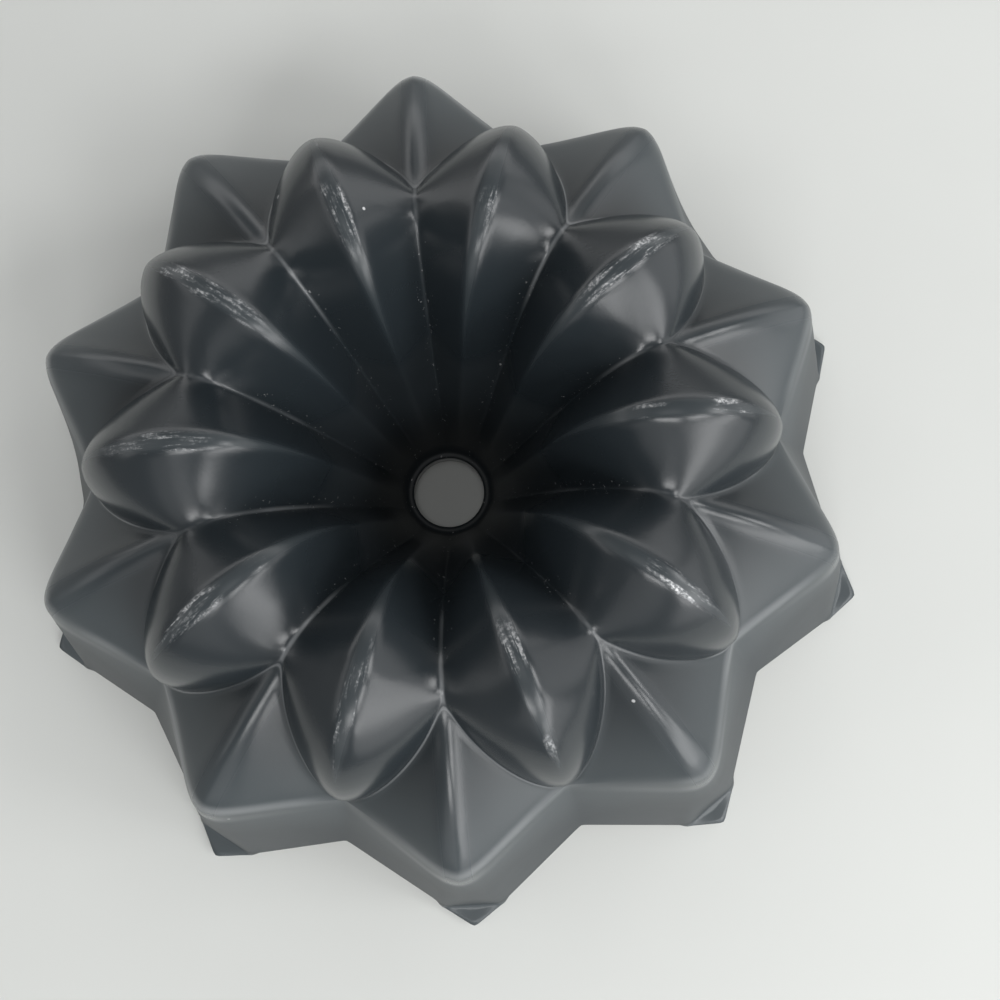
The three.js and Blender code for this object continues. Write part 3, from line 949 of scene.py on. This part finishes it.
class PAN_OT_lining(Operator):
    """Makes the non-stick lining on the food side of the pan"""

    bl_idname = "star_pan.lining"
    bl_label = "Non-stick lining"

    def execute(self, context):
        settings = context.scene.star_pan
        half = HalfPoint(settings)
        layers = settings.layers
        outside, inside = half.food_side(layers.lining_back), half.food_side(layers.lining_face)
        mesh = point_mesh("lining_point", outside, inside)
        piece = pan_layer(context, "nonstick_lining_face", mesh, lining_material(settings))
        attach(piece, "root")
        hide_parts("nonstick_lining")
        return {"FINISHED"}


def soft_box(scene, name, azimuth, elevation, width, height, radiance):
    """A plain soft lamp that faces the pan. Its place, width and height are angles as the pan sees them."""
    lamp = bpy.data.lights.new(name, "AREA")
    lamp.shape = "RECTANGLE"
    half_angles = (math.radians(angle / 2) for angle in (width, height))
    lamp.size, lamp.size_y = (2 * LAMP_DISTANCE * math.tan(angle) for angle in half_angles)
    lamp.energy = radiance * lamp.size * lamp.size_y * math.pi
    climb = math.radians(elevation)
    way = Vector(polar(math.cos(climb), math.radians(azimuth), math.sin(climb)))
    turned = way.to_track_quat("Z", "Y")
    piece = bpy.data.objects.new(name, lamp)
    place = way * LAMP_DISTANCE + Vector((0.0, 0.0, LAMP_AIM_HEIGHT))
    piece.matrix_world = Matrix.LocRotScale(place, turned, None)
    scene.collection.objects.link(piece)


class PAN_OT_stage(Operator):
    """Sets up the table, the light and the camera"""

    bl_idname = "star_pan.stage"
    bl_label = "Table, light and camera"

    def execute(self, context):
        settings = context.scene.star_pan
        scene = context.scene
        mesh = bpy.data.meshes.new("table_top")
        corners = [(x * TABLE_REACH, y * TABLE_REACH, 0.0) for x, y in ((-1, -1), (1, -1), (1, 1), (-1, 1))]
        mesh.from_pydata(corners, [], [(0, 1, 2, 3)])
        table = bpy.data.objects.new("table_top", mesh)
        table.data.materials.append(table_material(settings))
        scene.collection.objects.link(table)

        camera = bpy.data.objects.new("Camera", bpy.data.cameras.new("Camera"))
        camera.data.sensor_width = CAMERA_SENSOR
        camera.data.lens = CAMERA_LENS
        camera.data.clip_start = CAMERA_NEAREST
        axis = Vector(CAMERA_TURN)
        to_camera = Matrix.Rotation(axis.length, 3, axis)
        camera.matrix_world = Matrix.LocRotScale(CAMERA_PLACE, to_camera.transposed(), None)
        scene.collection.objects.link(camera)
        scene.camera = camera

        for name, (azimuth, elevation, width, height, radiance) in SOFT_BOXES.items():
            soft_box(scene, name, azimuth, elevation, width, height, radiance)
        world = bpy.data.worlds.new("Room")
        scene.world = world
        world.use_nodes = True
        background = world.node_tree.nodes["Background"]
        background.inputs["Color"].default_value = (1.0, 1.0, 1.0, 1.0)
        background.inputs["Strength"].default_value = ROOM_GLOW
        scene.view_settings.view_transform = "Standard"
        return {"FINISHED"}


class PAN_PT_sidebar(Panel):
    """Lists the pan's pieces and sizes."""

    bl_idname = "PAN_PT_sidebar"
    bl_label = "Star bundt pan"
    bl_space_type = "VIEW_3D"
    bl_region_type = "UI"
    bl_category = "Bundt pan"

    def draw(self, context):
        for operator in OPERATORS:
            self.layout.operator(operator.bl_idname)
        settings = context.scene.star_pan
        for kept in ("star", "petals", "layers", "edges", "wear", "colours"):
            group = getattr(settings, kept)
            box = self.layout.box()
            for name in group.bl_rna.properties.keys():
                if name not in ("rna_type", "name"):
                    box.prop(group, name)


GROUPS = (StarSizes, PetalSizes, LayerSizes, EdgeSizes, WearSizes, PanColours, PanSettings)
OPERATORS = (PAN_OT_outer_coat, PAN_OT_casting, PAN_OT_lining, PAN_OT_stage)


def register():
    for made in (*GROUPS, *OPERATORS, PAN_PT_sidebar):
        bpy.utils.register_class(made)
    bpy.types.Scene.star_pan = PointerProperty(type=PanSettings)


def unregister():
    del bpy.types.Scene.star_pan
    for made in (PAN_PT_sidebar, *reversed(OPERATORS), *reversed(GROUPS)):
        bpy.utils.unregister_class(made)


def main():
    register()
    bpy.ops.star_pan.outer_coat()
    bpy.ops.star_pan.casting()
    bpy.ops.star_pan.lining()
    bpy.ops.star_pan.stage()


if __name__ == "__main__":
    main()
